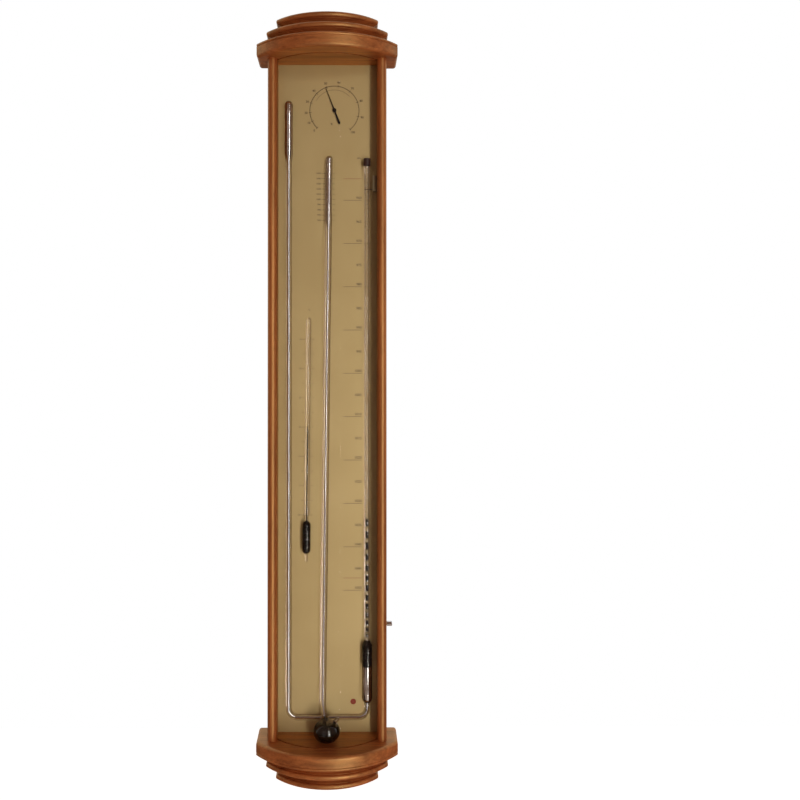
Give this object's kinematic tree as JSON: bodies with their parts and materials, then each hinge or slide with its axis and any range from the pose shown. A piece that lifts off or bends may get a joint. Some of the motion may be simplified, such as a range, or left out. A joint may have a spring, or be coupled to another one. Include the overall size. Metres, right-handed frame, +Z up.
{
  "type": "wall barometer",
  "caption": "Tall wooden wall case with stepped caps and a bowed glass front, holding a cistern barometer, a contra barometer, a thermometer and a hygrometer dial.",
  "frame": {"origin": "centre of the round hole of the hanging plate, on the wall plane at the back of the case", "axes": "+Z up along the case, -Y out from the wall to the front, +X to the right seen from the front"},
  "size_m": [0.198, 0.094, 1.072],
  "materials": {
    "case_wood": "satin varnish",
    "scale_metal": "satin gold anodised",
    "clear_glass": "clear",
    "mercury": "mirror bright liquid metal",
    "dark_liquid": "dark clear liquid",
    "black_cap": "satin",
    "black_enamel": "satin black",
    "brass": "satin",
    "steel": "satin",
    "chrome": "polished",
    "grey_plastic": "matte",
    "black_cord": "braided"
  },
  "bodies": {
    "case": {"back_board": "case_wood", "left_side_board": "case_wood", "right_side_board": "case_wood", "cornice_lower": "case_wood", "cornice_middle": "case_wood", "cornice_upper": "case_wood", "plinth_upper": "case_wood", "plinth_middle": "case_wood", "plinth_lower": "case_wood", "case_dowels": "case_wood", "back_board_screws": "steel", "bow_glass": "clear_glass", "scale_plate": "scale_metal", "hanger_plate": "steel", "hanger_screws": "steel", "barometer_tube": "clear_glass", "barometer_mercury": "mercury", "barometer_ties": "steel", "contra_tube": "clear_glass", "contra_mercury": "mercury", "indicator_liquid": "dark_liquid", "contra_cap": "black_cap", "contra_ties": "steel", "thermometer_tube": "clear_glass", "thermometer_liquid": "dark_liquid", "thermometer_ties": "steel", "hygrometer_case": "brass", "hygrometer_screws": "steel", "humidity_coil": "brass", "hygrometer_bridge": "brass", "bridge_screws": "steel", "shaft_bush": "brass", "pointer_cord": "black_cord", "pulley_pin": "steel"},
    "humidity_pointer": {"pointer_arbor": "steel", "hygrometer_pointer": "black_enamel"},
    "knob": {"setting_knob": "chrome", "knob_shaft": "steel", "cord_drum": "brass"},
    "pulley": {"upper_pulley": "brass"},
    "set_pointer": {"pointer_slider": "grey_plastic", "pointer_wire": "black_enamel"}
  },
  "joints": [
    {"name": "humidity_pointer_turn", "type": "hinge", "parent": "case", "child": "humidity_pointer", "pos_m": [0.0099, -0.0155, -0.0474], "axis": [0, 1, 0], "range_deg": [-114, 161], "stiffness_Nm_per_rad": 0.0005, "deforming": ["humidity_coil"]},
    {"name": "knob_turn", "type": "hinge", "parent": "case", "child": "knob", "pos_m": [0.0748, -0.02275, -0.7805], "axis": [1, 0, 0], "range_deg": [-80.5, 5780]},
    {"name": "set_pointer_slide", "type": "slide", "parent": "case", "child": "set_pointer", "axis": [0, 0, 1], "range_m": [-0.575, 0.008]},
    {"name": "pulley_turn", "type": "hinge", "parent": "case", "child": "pulley", "pos_m": [0.0748, -0.02275, -0.12], "axis": [1, 0, 0], "range_deg": [-80.5, 5780]}
  ],
  "couplings": [
    {"joint": "knob_turn", "follows": "set_pointer_slide", "rad_per_m": -175.44},
    {"joint": "pulley_turn", "follows": "set_pointer_slide", "rad_per_m": -175.44}
  ]
}
